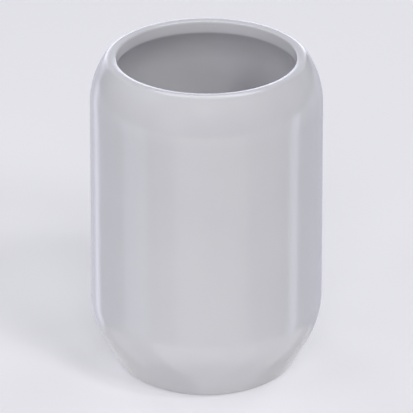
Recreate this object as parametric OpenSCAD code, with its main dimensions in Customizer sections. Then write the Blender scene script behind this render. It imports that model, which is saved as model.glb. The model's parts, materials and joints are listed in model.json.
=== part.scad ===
/* [Body] */
// Height from the table to the top of the rim
height = 110; // [90:1:130]
// Radius of the wall at its widest, just above the heel curve
belly_r = 38.8; // [36:0.1:42]
// How much the wall narrows from there up to the shoulder curve
taper_w = 0.7; // [0:0.1:1.5]
// Wall thickness of the cast body
wall_t = 5; // [4:0.1:5.6]

/* [Mouth] */
// How far the shoulder draws the mouth in, from the wall to the inside of the lip
draw_in_w = 8.8; // [7.5:0.1:10]
// Radius of the round that the shoulder ends in, on the outside of the lip
lip_r = 3.5; // [2.5:0.1:4.5]
// Width of the flat on top of the lip
lip_flat_w = 0.6; // [0.2:0.1:1.2]
// Round on the inner edge of the lip
lip_edge_r = 0.7; // [0.4:0.1:1]
// Radius of the shoulder curve, in the outer profile
shoulder_r = 26; // [22:0.5:30]

/* [Base] */
// How far the heel and the lower cone draw the foot in from the belly
foot_in_w = 9.1; // [8:0.1:10.5]
// Slope of the lower cone, from the vertical, in degrees
cone_angle = 28.5; // [26:0.5:31]
// Radius of the heel curve between the lower cone and the wall
heel_r = 31.3; // [26:0.1:34]
// Round on the outer edge of the foot ring
ring_edge_r = 1.4; // [0.8:0.1:2]
// Width of the foot ring, up to the recess under the base
ring_w = 4.2; // [3:0.1:6]
// Depth of the recess under the base
recess_h = 1.6; // [1.2:0.1:2.2]
// How far the wall of the recess leans in over that depth
recess_lean_w = 0.8; // [0.4:0.1:1.2]
// Thickness of the floor of the cup, above the recess
floor_t = 5.4; // [4.4:0.1:7]
// Radius of the curve from the floor to the inner wall
floor_curve_r = 9; // [6:0.5:11]

/* [Feet] */
// How many cushion feet stand under the base
foot_count = 4; // [3:1:4]
// Radius of one cushion foot
foot_r = 4.5; // [3.5:0.1:5.5]
// Space between a foot and the wall of the recess
foot_margin = 1.5; // [0.8:0.1:3]
// How far the feet stand below the foot ring
foot_proud_h = 0.3; // [0.2:0.1:1]
// Depth of the moulded seat that each foot is glued into
seat_h = 0.6; // [0.4:0.1:1]
// Gap all round a foot, inside its seat
seat_gap = 0.3; // [0.2:0.05:0.5]
// Round on the lower edge of a foot
foot_edge_r = 0.6; // [0.3:0.1:0.8]

/* [Hidden] */
// Facets of a full turn, and the steps along one arc of a profile
$fn = 96;
arc_steps = 14;
edge_steps = 6;
// Overrun of every cut past the face that it opens
cut_over = 1;

glaze_colour = [0.80, 0.80, 0.83];
foot_colour = [0.86, 0.86, 0.86];

// Points along an arc about a centre, from one angle to the other
function arc(centre, r, from, to, steps) =
    [for (i = [0 : steps])
        let (a = from + (to - from) * i / steps)
        centre + r * [cos(a), sin(a)]];

// Angle of the normal that two circles share along their outer tangent line
function tangent_angle(low, low_r, high, high_r) =
    let (d = high - low)
    asin((low_r - high_r) / norm(d)) - atan2(d[0], d[1]);

// Outer profile: foot ring edge, lower cone, heel, wall, shoulder and lip
ring_z = foot_proud_h;
ring_r = belly_r - foot_in_w;
neck_r = belly_r - taper_w;
mouth_r = neck_r - draw_in_w;
edge_centre = [ring_r - ring_edge_r * (1 - sin(cone_angle)) / cos(cone_angle), ring_z + ring_edge_r];
heel_z = ring_z + (heel_r + (foot_in_w - heel_r) * cos(cone_angle)) / sin(cone_angle);
heel_centre = [belly_r - heel_r, heel_z];
lip_mid_r = mouth_r + lip_edge_r + lip_flat_w;
shoulder_run = lip_mid_r - (neck_r - shoulder_r);
shoulder_rise = sqrt(pow(shoulder_r - lip_r, 2) - pow(shoulder_run, 2));
lip_centre = [lip_mid_r, height - lip_r];
shoulder_centre = [neck_r - shoulder_r, height - lip_r - shoulder_rise];
wall_angle = tangent_angle(heel_centre, heel_r, shoulder_centre, shoulder_r);
lip_angle = atan2(shoulder_rise, shoulder_run);

// Inner profile: the same curves, one wall thickness further in
inner_shoulder_r = shoulder_r - wall_t;
inner_heel_r = heel_r - wall_t;
mouth_angle = acos((mouth_r - shoulder_centre[0]) / inner_shoulder_r);
floor_z = ring_z + recess_h + floor_t;
// The floor curve is tangent to the floor and to the inner heel curve
floor_curve_z = floor_z + floor_curve_r;
floor_curve_run = sqrt(pow(inner_heel_r - floor_curve_r, 2) - pow(heel_z - floor_curve_z, 2));
floor_curve_centre = [heel_centre[0] + floor_curve_run, floor_curve_z];
floor_angle = atan2(floor_curve_z - heel_z, floor_curve_run);

// Recess under the base and the seats in its ceiling
recess_r = ring_r - ring_edge_r - ring_w;
ceiling_r = recess_r - recess_lean_w;
recess_z = ring_z + recess_h;
seat_z = recess_z + seat_h;
foot_circle_r = ceiling_r - foot_margin - foot_r;

body_profile = concat(
    [[0, recess_z], [ceiling_r, recess_z], [recess_r, ring_z]],
    arc(edge_centre, ring_edge_r, -90, -cone_angle, edge_steps),
    arc(heel_centre, heel_r, -cone_angle, wall_angle, arc_steps),
    arc(shoulder_centre, shoulder_r, wall_angle, lip_angle, arc_steps),
    arc(lip_centre, lip_r, lip_angle, 90, arc_steps),
    arc([mouth_r + lip_edge_r, height - lip_edge_r], lip_edge_r, 90, 180, edge_steps),
    arc(shoulder_centre, inner_shoulder_r, mouth_angle, wall_angle, arc_steps),
    arc(heel_centre, inner_heel_r, wall_angle, floor_angle, arc_steps),
    arc(floor_curve_centre, floor_curve_r, floor_angle, -90, arc_steps),
    [[0, floor_z]]
);

foot_profile = concat(
    [[0, 0]],
    arc([foot_r - foot_edge_r, foot_edge_r], foot_edge_r, -90, 0, edge_steps),
    [[foot_r, seat_z], [0, seat_z]]
);

// Places one foot, counted from 1, on its circle under the base
module at_foot(index) {
    rotate([0, 0, (index - 0.5) * 360 / foot_count])
        translate([foot_circle_r, 0, 0])
            children();
}

// One moulded seat, cut up into the ceiling of the recess
module foot_seat() {
    translate([0, 0, recess_z - cut_over])
        cylinder(h = seat_h + cut_over, r = foot_r + seat_gap);
}

// Cast and glazed body: a round, hollow shell open at the mouth
module tumbler_body() {
    color(glaze_colour)
        difference() {
            rotate_extrude()
                polygon(body_profile);
            for (i = [1 : foot_count])
                at_foot(i)
                    foot_seat();
        }
}

// Soft foot that sits in its seat and keeps the glaze off the shelf
module cushion_foot(index) {
    color(foot_colour)
        at_foot(index)
            rotate_extrude()
                polygon(foot_profile);
}

tumbler_body();
for (i = [1 : foot_count])
    cushion_foot(i);
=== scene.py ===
import json
import math
import bpy
import bmesh
from mathutils import Matrix, Vector

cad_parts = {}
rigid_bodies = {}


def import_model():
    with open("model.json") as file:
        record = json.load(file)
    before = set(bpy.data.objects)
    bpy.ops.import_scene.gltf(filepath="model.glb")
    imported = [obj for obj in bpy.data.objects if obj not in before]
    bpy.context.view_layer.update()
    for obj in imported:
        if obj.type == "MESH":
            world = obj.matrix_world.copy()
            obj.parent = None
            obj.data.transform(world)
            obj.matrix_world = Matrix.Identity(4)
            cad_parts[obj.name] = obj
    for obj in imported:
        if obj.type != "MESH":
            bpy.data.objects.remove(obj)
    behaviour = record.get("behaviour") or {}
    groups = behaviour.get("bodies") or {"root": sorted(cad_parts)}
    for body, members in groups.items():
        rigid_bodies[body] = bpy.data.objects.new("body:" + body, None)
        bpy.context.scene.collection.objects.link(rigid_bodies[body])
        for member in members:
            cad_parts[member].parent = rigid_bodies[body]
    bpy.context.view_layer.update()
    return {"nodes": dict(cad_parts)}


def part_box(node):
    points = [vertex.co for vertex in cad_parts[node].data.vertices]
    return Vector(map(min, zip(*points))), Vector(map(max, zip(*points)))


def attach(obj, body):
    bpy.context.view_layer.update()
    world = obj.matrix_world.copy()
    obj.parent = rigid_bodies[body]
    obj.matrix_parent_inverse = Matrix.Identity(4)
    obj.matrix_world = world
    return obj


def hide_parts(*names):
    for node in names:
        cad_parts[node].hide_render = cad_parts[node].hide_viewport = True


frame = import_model()
scene = bpy.context.scene

bodyLow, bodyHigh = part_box("tumbler_body")
mm = 0.001
mergeGap = 0.01 * mm             # vertices nearer than this are one
thinGap = 0.001 * mm             # edges shorter than this are dropped
sharpAngle = math.radians(35)    # edges bent further than this stay sharp
noiseSpan = (0.3, 0.7)           # where most of a noise's values lie
footNames = sorted(name for name in frame["nodes"] if name.startswith("cushion_foot"))
print("frame: body from", round(bodyLow.z, 4), "to", round(bodyHigh.z, 4), "with", len(footNames), "feet")

# Shape of the cast body, as radii from the axis and heights over the shelf
cup = {
    "height": bodyHigh.z,
    "bellyRadius": bodyHigh.x,
    "taper": 0.7 * mm,           # from the belly up to the neck
    "drawIn": 8.8 * mm,          # from the neck in to the mouth
    "footIn": 9.1 * mm,          # from the belly in to the foot ring
    "lipRound": 2.4 * mm,        # outside of the lip
    "lipTop": 1.17 * mm,         # from the crest of the lip in to its edge round
    "lipEdge": 0.7 * mm,         # inner edge of the lip
    "lipSlope": math.radians(12),  # the glaze runs thinner towards that edge
    "shoulderRound": 26.0 * mm,
    "heelRound": 31.3 * mm,
    "wall": 5.0 * mm,
    "coneAngle": math.radians(28.5),
    "ringWidth": 4.2 * mm,
    "ringEdge": 1.4 * mm,
    "ringHeight": bodyLow.z,
    "recess": 1.6 * mm,
    "recessLean": 0.8 * mm,
    "floor": 5.4 * mm,
    "floorCurve": 9.0 * mm,
    "creaseRound": 0.45 * mm,    # glaze softens the edge under the lip
    "recessRound": 0.5 * mm,
    "softReach": 0.05 * mm,      # a vertex this near to a ring is on it
    "softSegments": 3,
    "turns": 192,                # faces round the body
    "wallSteps": 4,              # faces up the straight wall
    "arcStep": math.radians(4),
    "lipStep": math.radians(6),
    "edgeStep": math.radians(12),
    "bareNormal": -0.9,          # the wiped foot ring faces down at least this much
}


def runTo(bm, vert, x, z):
    # a straight stretch of the outline
    made = bmesh.ops.extrude_vert_indiv(bm, verts=[vert])["verts"][0]
    made.co = (x, 0, z)
    return made


def climbTo(bm, vert, start, end, steps):
    # a straight stretch in even parts
    for count in range(1, steps + 1):
        vert = runTo(bm, vert, *start.lerp(end, count / steps))
    return vert


def turnAbout(bm, vert, centre, angle, step):
    # a round stretch: positive angles turn from +X towards +Z
    steps = max(2, math.ceil(abs(angle) / step))
    made = bmesh.ops.spin(bm, geom=[vert], cent=(centre[0], 0, centre[1]), axis=(0, -1, 0),
                          dvec=(0, 0, 0), angle=angle, steps=steps)
    return [item for item in made["geom_last"] if isinstance(item, bmesh.types.BMVert)][0]


def onArc(centre, radius, angle):
    return Vector(centre) + radius * Vector((math.cos(angle), math.sin(angle)))


def spinRound(bm, turns):
    # the full spin round the axis, closed at its poles
    outline = bm.verts[:] + bm.edges[:]
    bmesh.ops.spin(bm, geom=outline, cent=(0, 0, 0), axis=(0, 0, 1), dvec=(0, 0, 0),
                   angle=math.tau, steps=turns, use_merge=True)
    bmesh.ops.remove_doubles(bm, verts=bm.verts[:], dist=mergeGap)
    bmesh.ops.dissolve_degenerate(bm, edges=bm.edges[:], dist=thinGap)
    bmesh.ops.recalc_face_normals(bm, faces=bm.faces[:])


def softenRing(bm, radius, height, width):
    # rounds one sharp ring of the body
    def onRing(vert):
        away, above = math.hypot(vert.co.x, vert.co.y) - radius, vert.co.z - height
        return max(abs(away), abs(above)) < cup["softReach"]
    ring = [edge for edge in bm.edges if all(onRing(vert) for vert in edge.verts)]
    bmesh.ops.bevel(bm, geom=ring, offset=width, segments=cup["softSegments"], affect="EDGES",
                    profile=0.5, material=-1)


def newObject(name, bm):
    mesh = bpy.data.meshes.new(name)
    bm.to_mesh(mesh)
    bm.free()
    obj = bpy.data.objects.new(name, mesh)
    scene.collection.objects.link(obj)
    mesh.shade_smooth()
    mesh.set_sharp_from_angle(angle=sharpAngle)
    return obj


def makeCup():
    c = cup
    slope, lipSlope = c["coneAngle"], c["lipSlope"]
    cosA, sinA = math.cos(slope), math.sin(slope)
    bottom = c["ringHeight"]
    ringRadius = c["bellyRadius"] - c["footIn"]
    neckRadius = c["bellyRadius"] - c["taper"]
    mouthRadius = neckRadius - c["drawIn"]
    edge = (ringRadius - c["ringEdge"] * (1 - sinA) / cosA, bottom + c["ringEdge"])
    heelHeight = bottom + (c["heelRound"] + (c["footIn"] - c["heelRound"]) * cosA) / sinA
    heel = (c["bellyRadius"] - c["heelRound"], heelHeight)
    lipFall = c["lipTop"] * math.tan(lipSlope)
    lipFall -= (c["lipRound"] - c["lipEdge"]) * (1 / math.cos(lipSlope) - 1)
    lipEdge = (mouthRadius + c["lipEdge"], c["height"] - lipFall - c["lipEdge"])
    lip = (lipEdge[0] + c["lipTop"], c["height"] - c["lipRound"])
    shoulderX = neckRadius - c["shoulderRound"]
    rise = math.sqrt((c["shoulderRound"] - c["lipRound"]) ** 2 - (lip[0] - shoulderX) ** 2)
    shoulder = (shoulderX, lip[1] - rise)
    lipAngle = math.atan2(rise, lip[0] - shoulderX)
    run, climb = shoulder[0] - heel[0], shoulder[1] - heel[1]
    wallAngle = math.asin((c["heelRound"] - c["shoulderRound"]) / math.hypot(run, climb))
    wallAngle -= math.atan2(run, climb)
    innerShoulder = c["shoulderRound"] - c["wall"]
    innerHeel = c["heelRound"] - c["wall"]
    creaseAngle = math.acos((mouthRadius - shoulder[0]) / innerShoulder)
    creaseHeight = shoulder[1] + innerShoulder * math.sin(creaseAngle)
    recessHeight = bottom + c["recess"]
    recessRadius = ringRadius - c["ringEdge"] - c["ringWidth"]
    floorHeight = recessHeight + c["floor"]
    curveHeight = floorHeight + c["floorCurve"]
    curveRun = math.sqrt((innerHeel - c["floorCurve"]) ** 2 - (heel[1] - curveHeight) ** 2)
    floorAngle = math.atan2(heel[1] - curveHeight, curveRun)
    step = c["arcStep"]

    bm = bmesh.new()
    vert = bm.verts.new((0, 0, recessHeight))
    vert = runTo(bm, vert, recessRadius - c["recessLean"], recessHeight)
    vert = runTo(bm, vert, recessRadius, bottom)
    vert = runTo(bm, vert, edge[0], bottom)
    vert = turnAbout(bm, vert, edge, math.pi / 2 - slope, step)
    vert = runTo(bm, vert, heel[0] + c["heelRound"] * cosA, heel[1] - c["heelRound"] * sinA)
    vert = turnAbout(bm, vert, heel, slope + wallAngle, step)
    low, high = onArc(heel, c["heelRound"], wallAngle), onArc(shoulder, c["shoulderRound"], wallAngle)
    vert = climbTo(bm, vert, low, high, c["wallSteps"])
    vert = turnAbout(bm, vert, shoulder, lipAngle - wallAngle, step)
    vert = turnAbout(bm, vert, lip, math.pi / 2 + lipSlope - lipAngle, c["lipStep"])
    vert = runTo(bm, vert, lipEdge[0] - c["lipEdge"] * math.sin(lipSlope),
                 lipEdge[1] + c["lipEdge"] * math.cos(lipSlope))
    vert = turnAbout(bm, vert, lipEdge, math.pi / 2 - lipSlope, c["edgeStep"])
    vert = runTo(bm, vert, mouthRadius, creaseHeight)
    vert = turnAbout(bm, vert, shoulder, wallAngle - creaseAngle, step)
    low, high = onArc(heel, innerHeel, wallAngle), onArc(shoulder, innerShoulder, wallAngle)
    vert = climbTo(bm, vert, high, low, c["wallSteps"])
    vert = turnAbout(bm, vert, heel, -floorAngle - wallAngle, step)
    vert = turnAbout(bm, vert, (heel[0] + curveRun, curveHeight), floorAngle - math.pi / 2, step)
    runTo(bm, vert, 0, floorHeight)
    spinRound(bm, c["turns"])
    softenRing(bm, mouthRadius, creaseHeight, c["creaseRound"])
    softenRing(bm, recessRadius, bottom, c["recessRound"])
    for face in bm.faces:
        # the foot ring is wiped bare before firing
        outside = face.calc_center_median().xy.length > recessRadius
        face.material_index = 1 if outside and face.normal.z < c["bareNormal"] else 0
    return newObject("tumbler_body_skin", bm)


# One soft foot, seated under the base
foot = {
    "edgeRound": 0.6 * mm,
    "edgeStep": math.radians(12),
    "seatGap": 0.3 * mm,
    "turns": 64,
}


def makeFoot(name):
    low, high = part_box(name)
    centre, radius = (low + high) / 2, (high.x - low.x) / 2
    bm = bmesh.new()
    vert = bm.verts.new((0, 0, low.z))
    edge = (radius - foot["edgeRound"], low.z + foot["edgeRound"])
    vert = runTo(bm, vert, edge[0], low.z)
    vert = turnAbout(bm, vert, edge, math.pi / 2, foot["edgeStep"])
    vert = runTo(bm, vert, radius, high.z)
    runTo(bm, vert, 0, high.z)
    spinRound(bm, foot["turns"])
    bmesh.ops.translate(bm, verts=bm.verts[:], vec=(centre.x, centre.y, 0))
    return newObject(name + "_skin", bm)


def cutSeats(body):
    # round seats in the ceiling of the recess, one for each foot
    bm = bmesh.new()
    for name in footNames:
        low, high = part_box(name)
        centre = (low + high) / 2
        radius = (high.x - low.x) / 2 + foot["seatGap"]
        made = bmesh.ops.create_cone(bm, cap_ends=True, segments=foot["turns"],
                                     radius1=radius, radius2=radius, depth=high.z)
        bmesh.ops.translate(bm, verts=made["verts"], vec=(centre.x, centre.y, high.z / 2))
    cutter = newObject("seat_cutter", bm)
    cut = body.modifiers.new("seats", "BOOLEAN")
    cut.operation = "DIFFERENCE"
    cut.solver = "EXACT"
    cut.object = cutter
    shaped = bpy.data.meshes.new_from_object(body.evaluated_get(bpy.context.evaluated_depsgraph_get()))
    body.modifiers.clear()
    body.data = shaped
    bpy.data.objects.remove(cutter)
    body.data.shade_smooth()
    body.data.set_sharp_from_angle(angle=sharpAngle)


def newMaterial(name):
    material = bpy.data.materials.new(name)
    material.use_nodes = True
    nodes, links = material.node_tree.nodes, material.node_tree.links
    return material, nodes, links, nodes["Principled BSDF"]


def addNoise(nodes, links, scale, detail, roughness):
    place, noise = nodes.new("ShaderNodeTexCoord"), nodes.new("ShaderNodeTexNoise")
    for socket, value in zip(("Scale", "Detail", "Roughness"), (scale, detail, roughness)):
        noise.inputs[socket].default_value = value
    links.new(place.outputs["Object"], noise.inputs["Vector"])
    return noise.outputs["Fac"]


def addRange(nodes, links, value, source, target):
    # maps one range of values onto another
    spread = nodes.new("ShaderNodeMapRange")
    for socket, end in zip(("From Min", "From Max", "To Min", "To Max"), (*source, *target)):
        spread.inputs[socket].default_value = end
    links.new(value, spread.inputs["Value"])
    return spread.outputs["Result"]


def addTint(nodes, links, value, pale, deep):
    ramp = nodes.new("ShaderNodeValToRGB")
    for element, position, colour in zip(ramp.color_ramp.elements, noiseSpan, (deep, pale)):
        element.position = position
        element.color = (*colour, 1)
    links.new(value, ramp.inputs["Fac"])
    return ramp.outputs["Color"]


def addBump(nodes, links, value, height, shader):
    bump = nodes.new("ShaderNodeBump")
    bump.inputs["Distance"].default_value = height
    links.new(value, bump.inputs["Height"])
    links.new(bump.outputs["Normal"], shader.inputs["Normal"])


glaze = {
    "pale": (0.636, 0.634, 0.663),
    "deep": (0.616, 0.614, 0.646),
    "roughness": (0.15, 0.20),
    "refraction": 1.5,
    "clouds": (38, 3, 0.5),      # scale, detail and roughness of a noise
    "waves": (76, 2, 0.5),       # unevenness of the glaze coat
    "waveHeight": 0.02 * mm,
    "paintedLightHeights": (15 * mm, 90 * mm),
    "paintedLightTones": (1.05, 0.96),    # painted light: paler towards the foot, darker towards the neck
}


def paintLightByHeight(nodes, links, colour, heights, tones):
    # painted light: changes the tone of a colour with the height
    place, parts = nodes.new("ShaderNodeTexCoord"), nodes.new("ShaderNodeSeparateXYZ")
    tone = nodes.new("ShaderNodeHueSaturation")
    links.new(place.outputs["Object"], parts.inputs["Vector"])
    links.new(addRange(nodes, links, parts.outputs["Z"], heights, tones), tone.inputs["Value"])
    links.new(colour, tone.inputs["Color"])
    return tone.outputs["Color"]


def glazeMaterial():
    material, nodes, links, shader = newMaterial("pale grey glaze")
    shader.inputs["IOR"].default_value = glaze["refraction"]
    clouds, waves = addNoise(nodes, links, *glaze["clouds"]), addNoise(nodes, links, *glaze["waves"])
    tint = addTint(nodes, links, clouds, glaze["pale"], glaze["deep"])
    # painted light: the glaze tone lightens towards the foot
    tint = paintLightByHeight(nodes, links, tint, glaze["paintedLightHeights"], glaze["paintedLightTones"])
    links.new(tint, shader.inputs["Base Color"])
    links.new(addRange(nodes, links, clouds, noiseSpan, glaze["roughness"]), shader.inputs["Roughness"])
    addBump(nodes, links, waves, glaze["waveHeight"], shader)
    return material


def grainyMaterial(name, finish):
    # one fine grain for colour, roughness and relief
    material, nodes, links, shader = newMaterial(name)
    grain = addNoise(nodes, links, *finish["grain"])
    links.new(addTint(nodes, links, grain, finish["pale"], finish["deep"]), shader.inputs["Base Color"])
    links.new(addRange(nodes, links, grain, noiseSpan, finish["roughness"]), shader.inputs["Roughness"])
    addBump(nodes, links, grain, finish["grainHeight"], shader)
    return material, shader


bisque = {
    "pale": (0.70, 0.68, 0.64),
    "deep": (0.60, 0.58, 0.54),
    "roughness": (0.75, 0.9),
    "grain": (1800, 4, 0.7),
    "grainHeight": 0.05 * mm,
}


def bisqueMaterial():
    return grainyMaterial("bare fired clay", bisque)[0]


silicone = {
    "pale": (0.70, 0.70, 0.70),
    "deep": (0.62, 0.62, 0.63),
    "roughness": (0.42, 0.55),
    "grain": (900, 3, 0.5),
    "grainHeight": 0.03 * mm,
    "refraction": 1.41,
    "softShare": 0.3,
    "softDepth": 1.5 * mm,
}


def siliconeMaterial():
    material, shader = grainyMaterial("milky silicone", silicone)
    shader.inputs["IOR"].default_value = silicone["refraction"]
    shader.inputs["Subsurface Weight"].default_value = silicone["softShare"]
    shader.inputs["Subsurface Radius"].default_value = (1, 1, 1)
    shader.inputs["Subsurface Scale"].default_value = silicone["softDepth"]
    return material


body = makeCup()
cutSeats(body)
body.data.materials.clear()
body.data.materials.append(glazeMaterial())
body.data.materials.append(bisqueMaterial())
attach(body, "root")
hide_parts("tumbler_body")
print("body:", len(body.data.polygons), "faces")

milky = siliconeMaterial()
for name in footNames:
    skin = makeFoot(name)
    skin.data.materials.append(milky)
    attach(skin, "root")
    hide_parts(name)
print("feet:", len(footNames))

# The view of the photograph: its size in pixels, and where the camera stands
photo = {
    "pixels": 413,
    "pixelsPerMm": 3.01,         # at the middle of the tumbler
    "distance": 990 * mm,
    "elevation": math.radians(26.15),
    "aimHeight": 55.45 * mm,
}


def addCamera():
    data = bpy.data.cameras.new("camera")
    data.lens = photo["pixelsPerMm"] / mm * photo["distance"] / photo["pixels"] * data.sensor_width
    camera = bpy.data.objects.new("camera", data)
    scene.collection.objects.link(camera)
    aim = Vector((0, 0, photo["aimHeight"]))
    away = Vector((0, -math.cos(photo["elevation"]), math.sin(photo["elevation"])))
    camera.location = aim + away * photo["distance"]
    camera.rotation_euler = (-away).to_track_quat("-Z", "Y").to_euler()
    scene.camera = camera


room = (1.0, 1.0, 1.0)
shade = (0.97, 0.98, 1.04)
sky = (0.92, 0.94, 1.08)

# Soft lamps. A bearing counts from the camera, to the right, and an elevation up, in degrees.
# Power is in watts and width in metres.
lamps = {
    "key": {"bearing": 47, "elevation": 55, "power": 3.6, "width": 0.2, "tint": room},
    "right": {"bearing": 38, "elevation": 40, "power": 4.2, "width": 0.3, "tint": room},
    "front": {"bearing": 0, "elevation": 38, "power": 5.6, "width": 0.6, "tint": room},
    "low": {"bearing": -35, "elevation": 12, "power": 5.4, "width": 0.6, "tint": room},
    "left": {"bearing": -65, "elevation": 38, "power": 3.2, "width": 0.6, "tint": shade},
    "sideLeft": {"bearing": -100, "elevation": 38, "power": 2.8, "width": 0.6, "tint": shade},
    "sideRight": {"bearing": 100, "elevation": 12, "power": 4.2, "width": 0.6, "tint": shade},
    "highRight": {"bearing": 100, "elevation": 65, "power": 2.1, "width": 0.6, "tint": shade},
    "backRight": {"bearing": 140, "elevation": 12, "power": 6.8, "width": 0.6, "tint": shade},
    "backLeft": {"bearing": -140, "elevation": 38, "power": 3.6, "width": 0.6, "tint": shade},
}
lampDistance = 1.5

# Reflectors that only the gloss sees: plain panels, from and to a bearing and an elevation
panels = {
    "tableFront": {"bearings": (-60, 60), "elevations": (-90, -60), "brightness": 1.7, "tint": room},
    "tableLeft": {"bearings": (-120, -60), "elevations": (-90, -60), "brightness": 0.9, "tint": room},
    "tableRight": {"bearings": (60, 120), "elevations": (-90, -60), "brightness": 1.5, "tint": room},
    "tableBack": {"bearings": (120, 240), "elevations": (-90, -60), "brightness": 0.8, "tint": room},
    "heelFront": {"bearings": (-60, 60), "elevations": (-60, -35), "brightness": 2.2, "tint": room},
    "heelLeft": {"bearings": (-120, -60), "elevations": (-60, -35), "brightness": 1.3, "tint": room},
    "heelRight": {"bearings": (60, 120), "elevations": (-60, -35), "brightness": 1.7, "tint": room},
    "heelBack": {"bearings": (120, 240), "elevations": (-60, -35), "brightness": 0.85, "tint": room},
    "frontLeft": {"bearings": (-60, -30), "elevations": (-35, -5), "brightness": 0.6, "tint": room},
    "front": {"bearings": (-30, 40), "elevations": (-35, -5), "brightness": 1.2, "tint": room},
    "frontRight": {"bearings": (40, 89), "elevations": (-35, -5), "brightness": 0.65, "tint": room},
    "stripLeft": {"bearings": (-88, -60), "elevations": (-35, -5), "brightness": 1.4, "tint": sky},
    "stripRight": {"bearings": (89, 101), "elevations": (-35, -5), "brightness": 2.2, "tint": sky},
    "sideLeft": {"bearings": (-132, -88), "elevations": (-35, -5), "brightness": 0.7, "tint": sky},
    "edgeLeft": {"bearings": (-143, -132), "elevations": (-35, -5), "brightness": 1.8, "tint": sky},
    "behindLeft": {"bearings": (-165, -143), "elevations": (-35, -5), "brightness": 0.8, "tint": sky},
    "sideRight": {"bearings": (101, 165), "elevations": (-35, -5), "brightness": 0.55, "tint": sky},
    "behind": {"bearings": (165, 195), "elevations": (-35, -5), "brightness": 0.7, "tint": sky},
    "midLeft": {"bearings": (-140, -60), "elevations": (-5, 25), "brightness": 0.2, "tint": sky},
    "backdrop": {"bearings": (160, 210), "elevations": (-5, 18), "brightness": 2.6, "tint": sky},
    "backdropSide": {"bearings": (210, 222), "elevations": (-5, 18), "brightness": 1.3, "tint": sky},
    "backdropHigh": {"bearings": (140, 220), "elevations": (18, 60), "brightness": 0.8, "tint": sky},
    "highLeft": {"bearings": (-140, -60), "elevations": (25, 60), "brightness": 0.4, "tint": sky},
    "highFront": {"bearings": (-60, 60), "elevations": (25, 60), "brightness": 0.2, "tint": room},
    "ceilingLeft": {"bearings": (-180, -60), "elevations": (60, 90), "brightness": 4.0, "tint": sky},
    "ceilingFront": {"bearings": (-60, 60), "elevations": (60, 90), "brightness": 1.8, "tint": room},
    "ceilingRight": {"bearings": (60, 180), "elevations": (60, 90), "brightness": 4.8, "tint": sky},
}
panelDistance = 2
panelStep = 5                    # degrees of bend in one face


def addLamp(name, lamp):
    data = bpy.data.lights.new(name, "AREA")
    data.color = lamp["tint"]
    data.size = lamp["width"]
    data.energy = lamp["power"]
    obj = bpy.data.objects.new(name, data)
    scene.collection.objects.link(obj)
    bearing, elevation = math.radians(lamp["bearing"]), math.radians(lamp["elevation"])
    away = Vector((math.sin(bearing) * math.cos(elevation), -math.cos(bearing) * math.cos(elevation),
                   math.sin(elevation)))
    target = Vector((0, 0, cup["height"] / 2))
    obj.location = target + away * lampDistance
    obj.rotation_euler = (-away).to_track_quat("-Z", "Y").to_euler()
    obj.visible_camera = obj.visible_glossy = False


def addPanel(name):
    panel = panels[name]
    middle = cup["height"] / 2
    start, end = (math.radians(bearing - 90) for bearing in panel["bearings"])
    low, high = (math.radians(elevation) for elevation in panel["elevations"])
    steps = max(2, round(math.degrees(end - start) / panelStep))
    bm = bmesh.new()
    vert = bm.verts.new((panelDistance * math.cos(low), 0, middle + panelDistance * math.sin(low)))
    turnAbout(bm, vert, (0, middle), high - low, math.radians(panelStep))
    bmesh.ops.rotate(bm, verts=bm.verts[:], cent=(0, 0, 0), matrix=Matrix.Rotation(start, 3, "Z"))
    bmesh.ops.spin(bm, geom=bm.verts[:] + bm.edges[:], cent=(0, 0, 0), axis=(0, 0, 1),
                   dvec=(0, 0, 0), angle=end - start, steps=steps)
    bmesh.ops.remove_doubles(bm, verts=bm.verts[:], dist=mm)
    obj = newObject("panel_" + name, bm)
    material, nodes, links, shader = newMaterial("glow " + name)
    shader.inputs["Base Color"].default_value = (0, 0, 0, 1)
    shader.inputs["Specular IOR Level"].default_value = 0
    shader.inputs["Emission Color"].default_value = (*panel["tint"], 1)
    shader.inputs["Emission Strength"].default_value = panel["brightness"]
    material.cycles.emission_sampling = "NONE"
    obj.data.materials.append(material)
    obj.visible_camera = obj.visible_diffuse = obj.visible_shadow = obj.visible_transmission = False


studio = {
    "backdrop": (0.775, 0.768, 0.815),
    "floorColour": (0.625, 0.62, 0.64),
    "floorSeen": 0.28,           # light that the camera alone sees on the floor
    "floorDrop": 0.05 * mm,      # keeps it clear of the feet
    "floorSize": 6,
    "floorRoughness": 0.9,
    "floorGloss": 0.1,
}


def addFloor():
    bm = bmesh.new()
    bmesh.ops.create_grid(bm, x_segments=1, y_segments=1, size=studio["floorSize"] / 2,
                          matrix=Matrix.Translation((0, 0, -studio["floorDrop"])))
    floor = newObject("floor", bm)
    material, nodes, links, shader = newMaterial("matte studio floor")
    shader.inputs["Base Color"].default_value = (*studio["floorColour"], 1)
    shader.inputs["Roughness"].default_value = studio["floorRoughness"]
    shader.inputs["Specular IOR Level"].default_value = studio["floorGloss"]
    shader.inputs["Emission Color"].default_value = (*studio["backdrop"], 1)
    path, seen = nodes.new("ShaderNodeLightPath"), nodes.new("ShaderNodeMath")
    seen.operation = "MULTIPLY"
    seen.inputs[1].default_value = studio["floorSeen"] / max(studio["backdrop"])
    links.new(path.outputs["Is Camera Ray"], seen.inputs[0])
    links.new(seen.outputs["Value"], shader.inputs["Emission Strength"])
    material.cycles.emission_sampling = "NONE"
    floor.data.materials.append(material)
    floor.visible_glossy = False


def addWorld():
    world = bpy.data.worlds.new("studio air")
    world.use_nodes = True
    scene.world = world
    nodes, links = world.node_tree.nodes, world.node_tree.links
    seen = nodes["Background"]
    seen.inputs["Color"].default_value = (*studio["backdrop"], 1)
    path = nodes.new("ShaderNodeLightPath")
    links.new(path.outputs["Is Camera Ray"], seen.inputs["Strength"])


addCamera()
for name, lamp in lamps.items():
    addLamp(name, lamp)
for name in panels:
    addPanel(name)
addFloor()
addWorld()
scene.view_settings.view_transform = "Standard"
print("studio: camera,", len(lamps), "lamps,", len(panels), "panels and floor")
